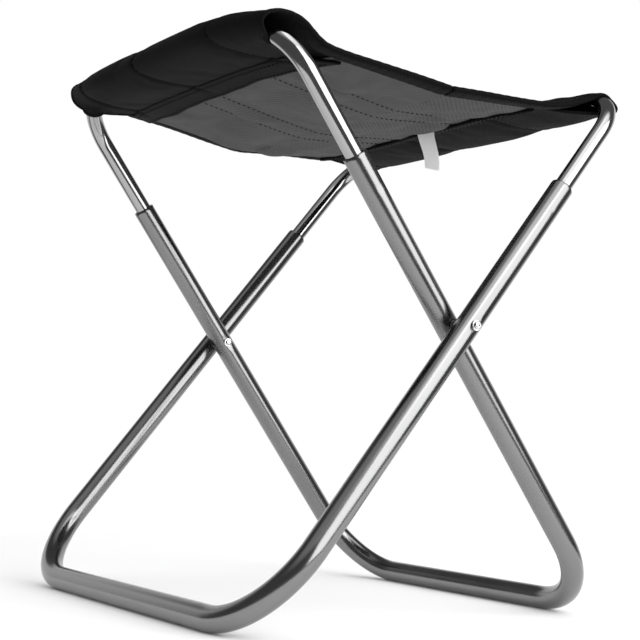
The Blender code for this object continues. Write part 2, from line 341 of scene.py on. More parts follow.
LOOKS = {
    "base_tube_metal": (metal_material, (0.20, 0.20, 0.202), (0.27, 0.27, 0.272), 0.20, 0.03),
    "seat_tube_metal": (metal_material, (0.36, 0.36, 0.362), (0.44, 0.44, 0.44), 0.12, 0.02),
    "rivet_metal": (metal_material, (0.60, 0.60, 0.60), (0.80, 0.80, 0.79), 0.16, 0.3),
    "spacer_plastic": (plastic_material, grey(0.016), grey(0.035), 0.42),
    "cover_fabric": (fabric_material, grey(0.0012), grey(0.0075), 0.62, 1, 0.00016, 0.70, 0.0, 0.25),
    "lining_fabric": (fabric_material, grey(0.014), grey(0.118), 0.72, 2, 0.00018, 0.74, 0.02, 0.30),
    "binding_fabric": (fabric_material, grey(0.0010), grey(0.0060), 0.55, 2, 0.00014, 0.68, 0.0, 0.25),
    "label_fabric": (fabric_material, grey(0.84), grey(0.98), 0.30, 1, 0.00004, 0.55, 0.0, 0.20),
    "thread": (fabric_material, grey(0.001), grey(0.003), 0.35, 1, 0.00003, 0.70, 0.0, 0.2),
}
MATERIAL = {name: make(name, *look) for name, (make, *look) in LOOKS.items()}


# ---- mesh helpers
def new_object(name, vertices, faces, material, uv=None):
    """A smooth mesh object. UV gives each vertex its place on the flat piece, in metres."""
    mesh = bpy.data.meshes.new(name)
    mesh.from_pydata([tuple(v) for v in vertices], [], [tuple(f) for f in faces])
    mesh.materials.append(MATERIAL[material])
    mesh.shade_smooth()
    if uv is not None:
        layer = mesh.uv_layers.new(name="flat")
        corner_vertex = np.empty(len(mesh.loops), np.int32)
        mesh.loops.foreach_get("vertex_index", corner_vertex)
        layer.data.foreach_set("uv", np.asarray(uv, np.float32)[corner_vertex].ravel())
    piece = bpy.data.objects.new(name, mesh)
    bpy.context.scene.collection.objects.link(piece)
    return piece


def bake(piece):
    """Applies the piece's modifiers, so that its own mesh is the final one."""
    bpy.context.view_layer.update()
    graph = bpy.context.evaluated_depsgraph_get()
    mesh = bpy.data.meshes.new_from_object(piece.evaluated_get(graph), preserve_all_data_layers=True, depsgraph=graph)
    old = piece.data
    piece.modifiers.clear()
    piece.data = mesh
    bpy.data.meshes.remove(old)
    mesh.name = piece.name


def fit_slot(piece, body, slot, *nodes):
    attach(piece, body)
    if nodes:
        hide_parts(*nodes)


def smooth_step(value):
    value = np.clip(value, 0, 1)
    return value * value * (3 - 2 * value)


def travel(points):
    """The distance travelled along a path, at each of its points."""
    return np.concatenate([[0], np.cumsum(np.linalg.norm(np.diff(points, axis=0), axis=1))])


def move_vertices(piece, points):
    piece.data.vertices.foreach_set("co", points.ravel())
    piece.data.update()


def curve_through(points, count):
    """Points at even spacing along a smooth curve through the given ones."""
    places = np.asarray(points, float)
    padded = np.vstack([2 * places[0] - places[1], places, 2 * places[-1] - places[-2]])
    step = np.linspace(0, 1, 16, endpoint=False)[:, None]
    dense = []
    for a, b, c, d in zip(padded, padded[1:], padded[2:], padded[3:]):
        dense.append(0.5 * (2 * b + (c - a) * step + (2 * a - 5 * b + 4 * c - d) * step**2
                            + (3 * b - a - 3 * c + d) * step**3))
    dense = np.vstack([*dense, places[-1:]])
    length = travel(dense)
    at = np.linspace(0, length[-1], count)
    return np.stack([np.interp(at, length, dense[:, k]) for k in range(dense.shape[1])], 1)


def grid_faces(rows, columns, wrap=False, flip=False):
    faces = []
    last = columns if wrap else columns - 1
    for row in range(rows - 1):
        for column in range(last):
            after = (column + 1) % columns
            faces.append((row * columns + column, row * columns + after,
                          (row + 1) * columns + after, (row + 1) * columns + column))
    return [face[::-1] for face in faces] if flip else faces


def ring_faces(rings, sides, first=0, closed=False):
    """The faces of a tube of rings of vertices, numbered on from the first one. A closed one ends where it began."""
    faces = []
    for ring in range(rings if closed else rings - 1):
        here, below = first + ring * sides, first + (ring + 1) % rings * sides
        for side in range(sides):
            after = (side + 1) % sides
            faces.append((here + side, below + side, below + after, here + after))
    return faces


# ---- tubes
TUBE_SIDES = 40
RING_STEP = 1.6 * MM
STAKE_FROM_PIVOT = 77.5 * MM
STAKE_DEPTH = 0.28 * MM
STAKE_SPREAD = 1.3 * MM
PIVOT_FLAT = 0.30 * MM
PIVOT_FLAT_SPREAD = 3.2 * MM


def u_line(width, leg_end, bar, bend):
    """The centreline of a U in its own plane, as (across, along the leg), with points close together."""
    towards = 1 if bar > leg_end else -1
    leg_steps = max(2, int(abs(bar - towards * bend - leg_end) / RING_STEP))
    right = [(width, z) for z in np.linspace(leg_end, bar - towards * bend, leg_steps, endpoint=False)]
    for angle in np.linspace(0, math.pi / 2, 30):
        right.append((width - bend + bend * math.cos(angle), bar - towards * bend * (1 - math.sin(angle))))
    across = np.linspace(width - bend, -(width - bend), 40)[1:-1]
    return np.array(right + [(x, bar) for x in across] + [(-x, z) for x, z in reversed(right)])


def in_space(line, tilt):
    """A line in a frame's plane, as points in space."""
    return np.outer(line[:, 0], (1, 0, 0)) + np.outer(line[:, 1], (0, math.sin(tilt), math.cos(tilt))) + np.array(PIVOT)


def tube_piece(name, line, radius, wall, tilt, material, marks=False):
    """A hollow round tube along a line in a frame's plane, with rounded rims. Marks are its stakes and pivot flats."""
    tangent = np.gradient(line, axis=0)
    tangent /= np.linalg.norm(tangent, axis=1)[:, None]
    lean = np.array([0, math.sin(tilt), math.cos(tilt)])
    normal = np.array([0, math.cos(tilt), -math.sin(tilt)])
    centre = in_space(line, tilt)
    forward = np.outer(tangent[:, 0], (1, 0, 0)) + np.outer(tangent[:, 1], lean)
    side = np.cross(forward, normal)
    travelled = travel(line)
    lip = 0.32 * wall
    inner = radius - wall
    last = len(line) - 1
    outside = [(i, 0.0, radius) for i in range(1, last)]
    inside = [(i, 0.0, inner) for i in range(last - 1, 0, -1)]
    rim = [(radius - 1.3 * lip, 0), (radius - 0.5 * lip, 0.25 * lip), (radius, lip)]
    bore = [(inner, lip), (inner + 0.6 * lip, 0)]
    head = [(0, back, r) for r, back in rim]
    tail = [(last, -back, r) for r, back in rim[::-1] + bore[::-1]]
    loops = head + outside + tail + inside + [(0, back, r) for r, back in bore]
    angle = np.linspace(0, 2 * math.pi, TUBE_SIDES, endpoint=False)
    vertices, uv = [], []
    for index, shift, ring_radius in loops:
        reach = np.full(TUBE_SIDES, ring_radius)
        along = line[index, 1]
        if marks and ring_radius > inner + lip:
            out = math.copysign(1, line[index, 0])
            sideways = np.outer(np.cos(angle), normal) + np.outer(np.sin(angle), side[index])
            facing = sideways[:, 0] * out
            off_axis = np.arccos(np.clip(facing, -1, 1)) * ring_radius
            stake = np.exp(-(((along - STAKE_FROM_PIVOT) ** 2 + off_axis**2) / STAKE_SPREAD**2))
            reach = reach - STAKE_DEPTH * stake
            for face in (facing, -facing):
                limit = (ring_radius - PIVOT_FLAT) / np.maximum(face, 0.05)
                flat = smooth_step((PIVOT_FLAT_SPREAD * 1.25 - abs(along)) / (0.25 * PIVOT_FLAT_SPREAD))
                reach = np.where((face > 0.5) & (limit < reach), reach + (limit - reach) * flat, reach)
        ring = (centre[index] + forward[index] * shift + np.outer(np.cos(angle) * reach, normal)
                + np.outer(np.sin(angle) * reach, side[index]))
        vertices.append(ring)
        uv.append(np.stack([angle * radius, np.full(TUBE_SIDES, travelled[index] + shift)], 1))
    faces = ring_faces(len(loops), TUBE_SIDES, closed=True)
    return new_object(name, np.vstack(vertices), faces, material, np.vstack(uv))


def add_tubes(name):
    for label, kind, leg_end, bar, bend, radius, wall in (
        ("lower", "base", PIVOT_TO_JUNCTION, -PIVOT_TO_BASE_BAR, BASE_BEND, BASE_RADIUS, BASE_WALL),
        ("upper", "seat", PIVOT_TO_JUNCTION - TUBE_INSERTION, PIVOT_TO_SEAT_BAR, SEAT_BEND, SEAT_RADIUS, SEAT_WALL),
    ):
        line = u_line(HALF_WIDTH[name], leg_end, bar, bend)
        slot = f"{kind}_tube_metal"
        piece = tube_piece(f"{name}_{label}_u", line, radius, wall, -inwards(name) * HALF_ANGLE, slot, kind == "base")
        fit_slot(piece, f"{name}_frame", slot, f"{name}_{kind}_tube")


# ---- pivot hardware
TURNED_SIDES = 48
# How far the washers reach into the flats pressed in the tubes.
WASHER_SUNK = 0.55 * MM
# A rivet head from its dimple to its rim, as (share of its radius, share of its height down from the top).
HEAD_OUTLINE = ((0, 0.50), (0.22, 0.48), (0.36, 0.22), (0.50, 0.02), (0.62, 0), (0.78, 0.06), (0.93, 0.26), (1, 0.55))


def turned_piece(name, profile, side, material, node):
    """A piece turned about the pivot axis. Its profile is (radius, distance from the middle), and is a closed loop
    or runs from axis to axis."""
    on_axis = profile[0][0] == 0
    angle = np.linspace(0, 2 * math.pi, TURNED_SIDES, endpoint=False)
    vertices, uv, rows = [], [], []
    travelled = 0.0
    for index, (radius, distance) in enumerate(profile):
        if index:
            travelled += math.dist(profile[index], profile[index - 1])
        if radius == 0:
            rows.append([len(vertices)])
            vertices.append((side * distance, 0.0, PIVOT.z))
            uv.append((0, travelled))
            continue
        rows.append(list(range(len(vertices), len(vertices) + TURNED_SIDES)))
        for turn in angle:
            vertices.append((side * distance, radius * math.cos(turn), PIVOT.z + radius * math.sin(turn)))
            uv.append((turn * radius, travelled))
    faces = []
    for first, second in zip(rows, rows[1:] if on_axis else rows[1:] + rows[:1]):
        for k in range(TURNED_SIDES):
            after = (k + 1) % TURNED_SIDES
            if len(first) == 1:
                face = (first[0], second[k], second[after])
            elif len(second) == 1:
                face = (first[k], second[0], first[after])
            else:
                face = (first[k], second[k], second[after], first[after])
            faces.append(face if side > 0 else face[::-1])
    piece = new_object(name, vertices, faces, material, uv)
    piece.data.set_sharp_from_angle(angle=math.radians(40))
    fit_slot(piece, "outer_frame", material, node)


def rounded_ring(outer, inner, far, near, edge):
    """The profile of a ring with rounded outer edges."""
    profile = [(inner, near), (inner, far)]
    for level, first, last in ((far - edge, 90, 0), (near + edge, 0, -90)):
        for angle in np.radians(np.linspace(first, last, 5)):
            profile.append((outer - edge + edge * math.cos(angle), level + edge * math.sin(angle)))
    return profile


def reach_of(node):
    """A node's nearest and farthest distance from the middle of the stool, along the pivot, and its radius."""
    low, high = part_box(node)
    return min(abs(low.x), abs(high.x)), max(abs(low.x), abs(high.x)), high.z - PIVOT.z


def add_hardware(label, side):
    near, far, _ = reach_of(f"pivot_rivet_{label}")
    head_back, head_seat, washer_radius = reach_of(f"head_washer_{label}")
    tail_seat, tail_back, _ = reach_of(f"tail_washer_{label}")
    spacer_near, spacer_far, spacer_radius = reach_of(f"pivot_spacer_{label}")
    head = washer_radius * 0.76
    hole = 1.5 * MM
    height = far - head_seat
    profile = [(radius * head, far - depth * height) for radius, depth in HEAD_OUTLINE]
    profile += [(head, head_seat), (hole, head_seat - 0.1 * MM), (hole, tail_seat + 0.1 * MM)]
    tail = 0.72 * washer_radius
    drop = tail_seat - near
    profile += [(tail, tail_seat), (tail, near + 0.45 * drop), (0.86 * tail, near + 0.12 * drop)]
    profile += [(0.6 * tail, near), (0, near)]
    turned_piece(f"rivet_{label}", profile, side, "rivet_metal", f"pivot_rivet_{label}")
    ring = rounded_ring(washer_radius, hole, head_seat, head_back - WASHER_SUNK, 0.22 * MM)
    turned_piece(f"washer_out_{label}", ring, side, "rivet_metal", f"head_washer_{label}")
    ring = rounded_ring(washer_radius, hole, tail_back + WASHER_SUNK, tail_seat, 0.22 * MM)
    turned_piece(f"washer_in_{label}", ring, side, "rivet_metal", f"tail_washer_{label}")
    ring = rounded_ring(spacer_radius, hole, spacer_far + 0.2 * MM, spacer_near - 0.2 * MM, 0.5 * MM)
    turned_piece(f"spacer_{label}", ring, side, "spacer_plastic", f"pivot_spacer_{label}")


# ---- seat
# Cloth places are (distance in from the bar's axis, height above it) in millimetres, from the crease to the bar, over
# it and round its outer side, and back in to the pocket's hem.
SEAT_EDGE = 107.0
CREASE = 104.28
MIDDLE_SAG = 3.2
COVER_LINE = {
    "inner": {
        "far": [(CREASE, -10.6), (84, -8.0), (64, -5.0), (52, -3.4), (40, -2.4), (30, -1.4), (22, 1.4), (15, 5.0),
                (8, 8.2), (2, 9.2), (-3, 8.4), (-6.6, 5.2), (-7.2, 1.0), (-5.4, -3.4), (0, -6.4),
                (9, -7.3), (26.5, -6.7)],
        "middle": [(CREASE, -11.4), (84, -10.0), (62, -8.4), (44, -6.9), (33, -5.2), (24, -1.2), (14, 5.0), (5, 8.7),
                   (-3, 9.1), (-9, 6.8), (-14, 2.8), (-16.6, -1.6), (-13.6, -5.6), (-5, -7.4), (8, -7.8),
                   (16, -7.4), (22.5, -6.9)],
        "near": [(CREASE, -13.0), (84, -11.4), (58, -9.9), (42, -9.0), (30.5, -7.6), (25, -5.4), (20.5, -2.4),
                 (15.5, 0.7), (9, 2.5), (2, 2.6), (-3.4, 1.0), (-6.0, -1.8), (-5.4, -4.8), (-1.5, -7.4), (6, -8.2),
                 (16, -7.8), (26.5, -7.2)],
    },
    "outer": {
        "far": [(CREASE, -10.6), (84, -8.6), (64, -7.2), (48, -6.4), (36, -5.2), (25, -2.8), (15, 1.2), (7, 4.4),
                (0, 5.8), (-5, 4.8), (-8.4, 1.2), (-8.4, -3.2), (-4.6, -6.8), (4, -8.2), (16, -8.4),
                (28, -7.9), (39.5, -7.3)],
        "middle": [(CREASE, -11.4), (84, -10.1), (64, -8.6), (48, -7.4), (36, -5.8), (25, -2.4), (15, 2.8), (7, 6.2),
                   (0, 7.1), (-6, 5.7), (-9.6, 1.6), (-9.2, -3.8), (-4, -7.4), (5, -8.8), (16, -9.2),
                   (28, -9.0), (39.5, -8.4)],
        "near": [(CREASE, -13.0), (84, -11.7), (64, -10.7), (47, -9.6), (37, -8.6), (28, -6.9), (20, -4.8), (12, -2.1),
                 (5, 0.2), (-1.0, 0.1), (-5.0, -2.0), (-7.0, -4.9), (-3.6, -7.4), (4, -8.6), (16, -8.8),
                 (28, -8.4), (39.5, -7.8)],
    },
}
# How far out from the middle the side edges' own shape begins to show, and over what distance, in millimetres.
BLEND_START, BLEND_LENGTH = 45.0, 62.0
# The rim of each pocket's left and right end, from the top of the bar to the hem, as (share of the cover's length, x
# in millimetres).
MOUTH = {
    "inner": (((0.56, -107), (0.66, -106.5), (0.74, -104), (0.84, -99), (0.92, -94), (1.0, -87)),
              ((0.56, 107), (0.66, 107.5), (0.74, 107.0), (0.80, 102.5), (0.86, 95), (0.92, 87), (1.0, 76))),
    "outer": (((0.56, -107), (0.66, -106.5), (0.74, -105.5), (0.82, -103.5), (0.90, -102), (1.0, -100)),
              ((0.52, 107), (0.58, 108.0), (0.63, 110.3), (0.70, 111.5), (0.76, 110.5), (0.82, 105), (0.88, 99),
               (0.94, 96), (1.0, 94))),
}
POCKET_SEAMS = {"inner": (-77.0, -6.0, 68.0), "outer": (-90.0, -17.0, 57.0)}
# Stitch lines on the flat of the seat, each as (x at the inner hem, x at the outer hem).
PANEL_SEAMS = ((-28.0, -33.0), (-8.0, -17.0), (44.0, 38.0), (64.0, 56.0))
# Stitch rows along the bar, as shares of the cover's length, and along the hem, as rows of its mesh.
BAR_SEAMS, HEM_SEAMS = (0.40, 0.455), (1.6, 6.2)
COVER_ROWS, COVER_COLUMNS = 92, 152
LINING_ROWS = 44
LINING_BELOW = 1.6
LAYER_GAP = 1.25 * MM
SMOOTH_PASSES = 6
# Cloth simulation: how hard each cloth is puffed, the share by which it is cut too large, and how far it may move.
FRAMES_TO_SETTLE = 20
PRESSURE = {"inner": 2.4, "outer": 1.6}
LINING_PRESSURE = 1.2
COVER_SLACK, LINING_SLACK = 0.010, 0.022
WEB_CAP, POCKET_CAP = 1.1, 2.8
LINING_CAP = 2.2 * MM
FOLD_DEPTH = 1.4 * MM
FOLD_PHASE = {"outer": 0.4, "inner": 1.9}
# Each hem's two edges, as how far they are in from the bar, at these places across the seat, all in millimetres.
HEM_PLACES = (-99.0, -80.0, -40.0, 0.0, 40.0, 70.0, 99.0)
HEM_REACH = {
    "inner": ((27.0, 25.5, 22.6, 22.2, 22.4, 24.5, 27.0), (41.0, 38.5, 35.8, 35.4, 35.5, 38.0, 43.0)),
    "outer": ((39.2, 39.2, 39.0, 39.0, 39.0, 39.2, 39.2), (46.5, 45.5, 46.5, 48.3, 48.3, 47.8, 44.0)),
}
TAPE_WIDTH = 10.5
TAPE_THICKNESS = 3.8
LINING_EDGE = SEAT_EDGE - TAPE_WIDTH + 3.0
CLOTH_THICKNESS = 1.0 * MM
LINING_THICKNESS = 0.7 * MM
HEM_THICKNESS = 1.5 * MM
TAG_THICKNESS = 0.35 * MM
TUBE_CLEARANCE = 0.9 * MM


def inwards(name):
    return -1.0 if name == "outer" else 1.0


def edge_shares(x):
    """How much of the far and of the near edge's shape a place across the seat takes, for x in millimetres."""
    x = np.asarray(x, float)
    return [np.clip((away - BLEND_START) / BLEND_LENGTH, 0, 1) ** 2 for away in (-x, x)]


def blended(name, x, pick):
    """A blend over x of what pick makes of the middle, far and near sections."""
    line = COVER_LINE[name]
    far, near = edge_shares(x)
    middle = pick(np.array(line["middle"]))
    return middle + (pick(np.array(line["far"])) - middle) * far + (pick(np.array(line["near"])) - middle) * near


def cover_section(name, x):
    """The cover's middle surface at one x, as points (reach, height) in millimetres from the crease to the hem."""
    return curve_through(blended(name, x, lambda line: line), COVER_ROWS)


def panel_seam_x(seam, y):
    """A stitch line's x at a y, both in millimetres: straight from one hem to the other."""
    share = (y + 80.0) / 140.0
    return seam[0] + (seam[1] - seam[0]) * share


def to_world(name, x, reach, height):
    """Millimetres across, in from the bar and above it, as metres in the row frame."""
    bar = BARS[name]
    return np.stack([np.asarray(x) * MM, bar.y + inwards(name) * np.asarray(reach) * MM,
                     bar.z + np.asarray(height) * MM], -1)


def middle_sag(x, reach):
    """How far the unsupported middle of the seat hangs below its bound edges, in millimetres."""
    across = 1 - np.clip(np.abs(x) / SEAT_EDGE, 0, 1) ** 4.5
    along = smooth_step((reach - 30.0) / 74.0)
    return MIDDLE_SAG * across * along


def cover_grid(name):
    """The cover as rows by columns of points in millimetres: (x, reach, height)."""
    share = np.linspace(0, 1, COVER_ROWS)
    rims = []
    for rim in MOUTH[name]:
        x = np.interp(share, *np.array(rim).T)
        padded = np.pad(x, 4, mode="edge")
        rims.append(np.convolve(padded, np.ones(9) / 9, mode="valid"))
    across = np.linspace(-1, 1, COVER_COLUMNS)
    grid = np.zeros((COVER_ROWS, COVER_COLUMNS, 3))
    for column, place in enumerate(across):
        top_x = place * SEAT_EDGE
        section = cover_section(name, top_x)
        grid[:, column, 0] = rims[0] + (rims[1] - rims[0]) * 0.5 * (place + 1)
        grid[:, column, 1:] = section
        grid[:, column, 2] -= middle_sag(top_x, section[:, 0])
    return grid, share


def seam_distance(name, x, y, share):
    """Distance in millimetres to the nearest stitch line that crosses the cover there."""
    lines = [panel_seam_x(seam, y) for seam in PANEL_SEAMS]
    web = np.min(np.abs(np.stack(lines) - x), axis=0)
    pocket = np.min(np.abs(np.array(POCKET_SEAMS[name])[:, None, None] - x), axis=0)
    on_web = share < 0.52
    return np.where(on_web[:, None], web, pocket)


def surface_normals(points, upwards=True):
    """Unit normals of a grid of points, on the side that faces up, or down, near its first row."""
    down = np.gradient(points, axis=0)
    across = np.gradient(points, axis=1)
    normal = np.cross(across, down)
    normal /= np.linalg.norm(normal, axis=2)[:, :, None]
    return normal if (normal[5, points.shape[1] // 2, 2] > 0) == upwards else -normal


def smoothed(field, passes):
    """A grid of vectors with its finest ripples averaged out."""
    for _ in range(passes):
        padded = np.pad(field, ((1, 1), (1, 1), (0, 0)), mode="edge")
        field = (2 * field + padded[:-2, 1:-1] + padded[2:, 1:-1] + padded[1:-1, :-2] + padded[1:-1, 2:]) / 6
    return field


def simulate(piece, shape, pinned, pressure, slack, cap):
    """Lets a cloth puff and crease between its pinned seams, then keeps the result, capped near where it began."""
    start = np.array([v.co for v in piece.data.vertices])
    group = piece.vertex_groups.new(name="pinned")
    for index, weight in enumerate(pinned):
        if weight > 0:
            group.add([index], float(weight), "REPLACE")
    cloth = piece.modifiers.new("cloth", "CLOTH")
    settings = cloth.settings
    settings.quality = 6
    settings.mass = 0.15
    settings.air_damping = 4.0
    settings.tension_stiffness = settings.compression_stiffness = 18.0
    settings.shear_stiffness = 6.0
    settings.bending_stiffness = 0.6
    settings.tension_damping = settings.compression_damping = 12.0
    settings.vertex_group_mass = "pinned"
    settings.pin_stiffness = 20.0
    settings.shrink_min = -slack
    settings.use_pressure = True
    settings.uniform_pressure_force = pressure
    settings.effector_weights.gravity = 0.0
    cloth.collision_settings.use_collision = False
    cloth.collision_settings.use_self_collision = False
    scene = bpy.context.scene
    cloth.point_cache.frame_start, cloth.point_cache.frame_end = 1, FRAMES_TO_SETTLE
    for number in range(1, FRAMES_TO_SETTLE + 1):
        scene.frame_set(number)
    evaluated = piece.evaluated_get(bpy.context.evaluated_depsgraph_get())
    moved = np.array([v.co for v in evaluated.data.vertices]) - start
    piece.modifiers.remove(cloth)
    scene.frame_set(1)
    moved = smoothed(moved.reshape(*shape, 3), SMOOTH_PASSES).reshape(-1, 3) * (1 - np.array(pinned))[:, None]
    length = np.linalg.norm(moved, axis=1)
    moved = moved * np.minimum(1, np.ravel(cap) / np.maximum(length, 1e-9))[:, None]
    move_vertices(piece, start + moved)


def grid_of(piece, rows, columns):
    return np.array([v.co for v in piece.data.vertices]).reshape(rows, columns, 3)


def subdivide(piece):
    smooth = piece.modifiers.new("smooth", "SUBSURF")
    smooth.levels = smooth.render_levels = 1


def thicken(piece, thickness):
    subdivide(piece)
    solid = piece.modifiers.new("thickness", "SOLIDIFY")
    solid.thickness = thickness
    solid.offset = 0.0
    solid.use_even_offset = True
    bake(piece)


def clear_of_tube(name, points):
    """The same points, with those too near the tube inside the pocket moved straight out onto it."""
    line = u_line(HALF_WIDTH[name], PIVOT_TO_JUNCTION, PIVOT_TO_SEAT_BAR, SEAT_BEND)
    tilt = -inwards(name) * HALF_ANGLE
    centre = in_space(line, tilt)
    least = SEAT_RADIUS + TUBE_CLEARANCE
    flat = points.reshape(-1, 3).copy()
    for index, point in enumerate(flat):
        near = np.argmin(np.linalg.norm(centre - point, axis=1))
        near = min(max(near, 1), len(centre) - 2)
        along = centre[near + 1] - centre[near - 1]
        along /= np.linalg.norm(along)
        away = point - centre[near]
        away = away - along * np.dot(away, along)
        distance = np.linalg.norm(away)
        if 1e-6 < distance < least:
            flat[index] += away / distance * (least - distance)
    return flat.reshape(points.shape)


def add_cover(name):
    """The black top layer: seat, the wrap round the bar, and the pocket's underside as far as its hem."""
    grid, share = cover_grid(name)
    points = to_world(name, grid[..., 0], grid[..., 1], grid[..., 2])
    normal = surface_normals(points)
    distance = seam_distance(name, grid[..., 0], points[..., 1] / MM, share)
    depth = (0.45 + 0.6 * smooth_step((share - 0.42) / 0.14))[:, None] * np.exp(-(distance / 1.7) ** 2)
    depth = depth * smooth_step(share / 0.04)[:, None]
    points = clear_of_tube(name, points - normal * (depth * MM)[..., None])
    rows, columns = COVER_ROWS, COVER_COLUMNS
    travelled = travel(points[:, columns // 2])
    uv = np.stack([np.broadcast_to(np.linspace(-1, 1, columns) * SEAT_EDGE * MM, (rows, columns)),
                   np.broadcast_to(travelled[:, None], (rows, columns))], -1)
    faces = grid_faces(rows, columns, flip=inwards(name) > 0)
    piece = new_object(f"{name}_seat_cloth", points.reshape(-1, 3), faces, "cover_fabric", uv.reshape(-1, 2))
    pin = np.exp(-(distance / 1.7) ** 2)
    pin[0] = pin[-1] = 1.0
    pin[:, 0] = pin[:, -1] = 1.0
    beside = np.abs(np.linspace(-1, 1, columns) * SEAT_EDGE) > SEAT_EDGE - TAPE_WIDTH
    pin[:, beside] = np.maximum(pin[:, beside], 0.8)
    pin = np.where(pin < 0.12, 0, pin)
    most = (WEB_CAP + (POCKET_CAP - WEB_CAP) * smooth_step((share - 0.45) / 0.15))[:, None] * np.ones(columns)
    simulate(piece, (rows, columns), pin.ravel(), PRESSURE[name], COVER_SLACK, most * MM)
    settled = clear_of_tube(name, grid_of(piece, rows, columns))
    move_vertices(piece, settled)
    return piece, settled


def lining_height(name, x, reach):
    """Height of the lining's middle surface over the bar's axis, in millimetres: just under the cover."""

    def level(line):
        web = line[:6]
        height = np.interp(reach, web[::-1, 0], web[::-1, 1])
        return np.where(reach < 36, np.minimum(height, -5.6), height)

    return blended(name, x, level) - middle_sag(x, reach) - LINING_BELOW


def hem_reach(name, x, side):
    """How far in from the bar the hem's pocket edge (0) or its lining edge (1) is, with a slight waver."""
    waver = 0.45 * np.sin(x / 9.5 + side) + 0.3 * np.sin(x / 4.3 + 2 * side + 0.7)
    return np.interp(x, HEM_PLACES, HEM_REACH[name][side]) + waver


def height_under(sheet, points, gap):
    """The points' heights, kept at least a gap below a sheet whose rows run across the seat."""
    web = sheet[: COVER_ROWS // 2]
    level = points[..., 2].copy()
    for column in range(points.shape[1]):
        x = points[:, column, 0].mean()
        y = np.array([np.interp(x, row[:, 0], row[:, 1]) for row in web])
        z = np.array([np.interp(x, row[:, 0], row[:, 2]) for row in web])
        order = np.argsort(y)
        above = np.interp(points[:, column, 1], y[order], z[order])
        level[:, column] = np.minimum(level[:, column], above - gap)
    return level


def add_lining(name, cover):
    """The grey underside, from the crease to inside the hem, held along its stitch lines and soft between."""
    rows, columns = LINING_ROWS, COVER_COLUMNS
    x = np.linspace(-LINING_EDGE, LINING_EDGE, columns)[None, :] + np.zeros((rows, 1))
    share = np.linspace(0, 1, rows)[:, None]
    last = hem_reach(name, x[0], 1) - 4.0
    reach = CREASE + (last - CREASE) * share
    height = lining_height(name, x, reach)
    points = to_world(name, x, reach, height)
    lines = np.stack([np.abs(panel_seam_x(seam, points[..., 1] / MM) - x) for seam in PANEL_SEAMS])
    distance = lines.min(axis=0)
    points[..., 2] += 0.28 * MM * np.exp(-(distance / 2.2) ** 2) * smooth_step((104.0 - reach) / 6.0)
    loose = (smooth_step((distance - 0.5) / 7.0) * smooth_step((LINING_EDGE - 3.0 - np.abs(x)) / 14.0)
             * np.sin(math.pi * np.clip(share, 0, 1)) ** 0.5)
    y = points[..., 1] / MM
    folds = (np.sin((x * 0.62 + y * 0.95) / 8.5 + FOLD_PHASE[name]) + 0.7 * np.sin((x * 0.95 - y * 0.45) / 6.1 + 1.1)
             + 0.8 * np.sin((x * 0.2 + y) / 12.5 + 2.3 + FOLD_PHASE[name]))
    points[..., 2] -= FOLD_DEPTH * loose * np.maximum(folds + 0.6, 0)
    uv = np.stack([x * MM, (CREASE - reach) * MM], -1)
    faces = grid_faces(rows, columns, flip=inwards(name) < 0)
    piece = new_object(f"{name}_under_cloth", points.reshape(-1, 3), faces, "lining_fabric", uv.reshape(-1, 2))
    pin = np.exp(-(distance / 1.6) ** 2)
    pin = np.where(share > 0.94, 1.0, pin)
    pin[0] = 1.0
    pin[:, np.abs(x[0]) > LINING_EDGE - 4.0] = 1.0
    pin = np.where(pin < 0.12, 0, pin)
    simulate(piece, (rows, columns), pin.ravel(), LINING_PRESSURE, LINING_SLACK, LINING_CAP)
    grid = grid_of(piece, rows, columns)
    grid[..., 2] = height_under(cover, grid, LAYER_GAP)
    move_vertices(piece, grid)
    return piece, grid


def path_frame(points, up):
    """The up vectors made square to a path, and the sideways ones."""
    tangent = np.gradient(points, axis=0)
    tangent /= np.linalg.norm(tangent, axis=1)[:, None]
    up = up - (up * tangent).sum(1)[:, None] * tangent
    up /= np.linalg.norm(up, axis=1)[:, None]
    return up, np.cross(tangent, up)


def band_piece(name, points, up, half_width, half_thickness, material, sides=14, square=3.2):
    """A soft flat band along a path: a rounded section, with closed ends. Widths may change along it."""
    up, side = path_frame(points, up)
    count = len(points)
    half_width = np.broadcast_to(half_width, count)
    half_thickness = np.broadcast_to(half_thickness, count)
    angle = np.linspace(0, 2 * math.pi, sides, endpoint=False)
    wide = np.sign(np.cos(angle)) * np.abs(np.cos(angle)) ** (2 / square)
    thick = np.sign(np.sin(angle)) * np.abs(np.sin(angle)) ** (2 / square)
    travelled = travel(points)
    vertices, uv = [], []
    for index in range(count):
        ring = (points[index] + np.outer(wide * half_width[index], side[index])
                + np.outer(thick * half_thickness[index], up[index]))
        vertices.append(ring)
        uv.append(np.stack([wide * half_width[index], np.full(sides, travelled[index])], 1))
    faces = grid_faces(count, sides, wrap=True, flip=True)
    faces.append(tuple(range(sides)))
    faces.append(tuple((count - 1) * sides + k for k in reversed(range(sides))))
    return new_object(name, np.vstack(vertices), faces, material, np.vstack(uv))


